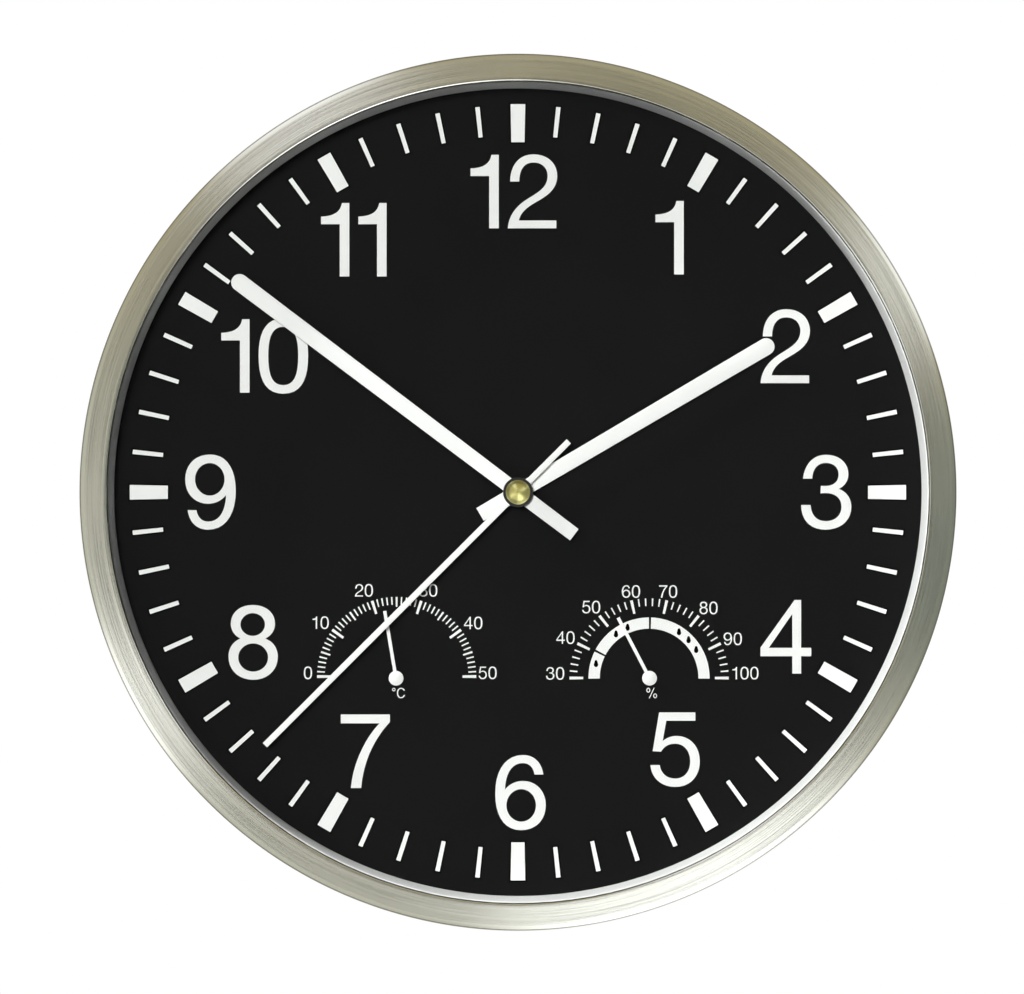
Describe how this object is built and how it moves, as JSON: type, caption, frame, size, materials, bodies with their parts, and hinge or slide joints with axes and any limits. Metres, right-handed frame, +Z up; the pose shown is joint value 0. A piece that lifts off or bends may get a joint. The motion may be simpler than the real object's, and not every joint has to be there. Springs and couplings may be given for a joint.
{
  "type": "wall clock",
  "caption": "Round wall clock with a brushed metal rim, flat glass, black dial and white hands, a built-in thermometer and hygrometer, and a battery quartz movement.",
  "frame": {"origin": "on the wall plane, at the axis of the hands", "axes": "+Y into the wall, -Y the way the dial faces, +Z up towards twelve, +X towards three"},
  "size_m": [0.3, 0.044, 0.3],
  "materials": {
    "brushed_aluminium": "circular brushing",
    "clear_glass": "polished",
    "silver_ring": "satin silver",
    "dial_black": "matt black with white print",
    "hand_white": "satin white",
    "cap_brass": "polished",
    "case_black": "fine moulded grain",
    "movement_black": "fine moulded grain",
    "zinc_steel": "zinc plated",
    "gasket_rubber": "matt",
    "turned_brass": "turned",
    "wheel_white": "moulded",
    "copper_wire": "enamelled winding",
    "board_green": "solder mask",
    "magnet_grey": "sintered",
    "cell_jacket": "printed jacket",
    "bimetal": "rolled strip"
  },
  "bodies": {
    "case": {"bezel": "brushed_aluminium", "rim_tabs": "zinc_steel", "lens_gasket": "gasket_rubber", "lens": "clear_glass", "spacer_ring": "silver_ring", "dial": "dial_black", "back_plate": "case_black", "rim_screws": "zinc_steel", "hanger_plate": "zinc_steel", "hanger_screws": "zinc_steel", "movement_case": "movement_black", "movement_cover": "movement_black", "mounting_bush": "turned_brass", "bush_washer": "gasket_rubber", "bush_nut": "movement_black", "stator": "zinc_steel", "coil_core": "zinc_steel", "drive_coil": "copper_wire", "circuit_board": "board_green", "chip": "movement_black", "quartz_crystal": "zinc_steel", "contact_positive": "zinc_steel", "contact_negative": "zinc_steel", "thermo_cup": "movement_black", "thermo_coil": "bimetal", "hygro_cup": "movement_black", "hygro_coil": "bimetal", "gauge_screws": "zinc_steel"},
    "rotor": {"rotor": "wheel_white", "rotor_magnet": "magnet_grey"},
    "intermediate": {"intermediate_wheel": "wheel_white"},
    "second": {"second_wheel": "wheel_white", "second_hand": "hand_white", "second_collar": "movement_black", "second_cap": "cap_brass"},
    "third": {"third_wheel": "wheel_white"},
    "centre": {"centre_wheel": "wheel_white"},
    "minute": {"minute_arbor": "turned_brass", "clutch_washer": "zinc_steel", "minute_hand": "hand_white"},
    "motion": {"motion_wheel": "wheel_white"},
    "hour": {"hour_wheel": "wheel_white", "hour_hand": "hand_white"},
    "knob": {"setting_knob": "movement_black"},
    "thermo_needle": {"thermo_arbor": "turned_brass", "thermo_pointer": "hand_white"},
    "hygro_needle": {"hygro_arbor": "turned_brass", "hygro_pointer": "hand_white"},
    "cell": {"battery": "cell_jacket"}
  },
  "joints": [
    {"name": "second_hand_turn", "type": "hinge", "parent": "case", "child": "second", "pos_m": [0, -0.03, 0], "axis": [0, 1, 0], "continuous": true},
    {"name": "rotor_turn", "type": "hinge", "parent": "case", "child": "rotor", "pos_m": [0.01146, -0.011, 0.01285], "axis": [0, 1, 0], "continuous": true},
    {"name": "intermediate_turn", "type": "hinge", "parent": "case", "child": "intermediate", "pos_m": [0.0054, -0.008, 0.00935], "axis": [0, 1, 0], "continuous": true},
    {"name": "third_wheel_turn", "type": "hinge", "parent": "case", "child": "third", "pos_m": [-0.00958, -0.012, 0.00349], "axis": [0, 1, 0], "continuous": true},
    {"name": "centre_wheel_turn", "type": "hinge", "parent": "case", "child": "centre", "pos_m": [0, -0.014, 0], "axis": [0, 1, 0], "continuous": true},
    {"name": "minute_hand_turn", "type": "hinge", "parent": "case", "child": "minute", "pos_m": [0, -0.028, 0], "axis": [0, 1, 0], "continuous": true},
    {"name": "motion_wheel_turn", "type": "hinge", "parent": "case", "child": "motion", "pos_m": [0.00886, -0.016, -0.00156], "axis": [0, 1, 0], "continuous": true},
    {"name": "hour_hand_turn", "type": "hinge", "parent": "case", "child": "hour", "pos_m": [0, -0.026, 0], "axis": [0, 1, 0], "continuous": true},
    {"name": "setting_knob_turn", "type": "hinge", "parent": "case", "child": "knob", "pos_m": [0.01899, -0.003, -0.00156], "axis": [0, 1, 0], "continuous": true},
    {"name": "thermometer_turn", "type": "hinge", "parent": "case", "child": "thermo_needle", "pos_m": [-0.0422, -0.0245, -0.0644], "axis": [0, 1, 0], "range_deg": [-80.4, 99.6], "stiffness_Nm_per_rad": 0.0005},
    {"name": "hygrometer_turn", "type": "hinge", "parent": "case", "child": "hygro_needle", "pos_m": [0.0456, -0.0245, -0.0644], "axis": [0, 1, 0], "range_deg": [-62.5, 117.5], "stiffness_Nm_per_rad": 0.0005},
    {"name": "battery_slide", "type": "slide", "parent": "case", "child": "cell", "axis": [0, 1, 0], "range_m": [0, 0.02]}
  ],
  "couplings": [
    {"joint": "rotor_turn", "follows": "second_hand_turn", "ratio": 30},
    {"joint": "intermediate_turn", "follows": "second_hand_turn", "ratio": -5},
    {"joint": "third_wheel_turn", "follows": "second_hand_turn", "ratio": -0.13333},
    {"joint": "centre_wheel_turn", "follows": "second_hand_turn", "ratio": 0.016667},
    {"joint": "motion_wheel_turn", "follows": "minute_hand_turn", "ratio": -0.33333},
    {"joint": "hour_hand_turn", "follows": "minute_hand_turn", "ratio": 0.083333},
    {"joint": "setting_knob_turn", "follows": "minute_hand_turn", "ratio": 0.66667}
  ]
}
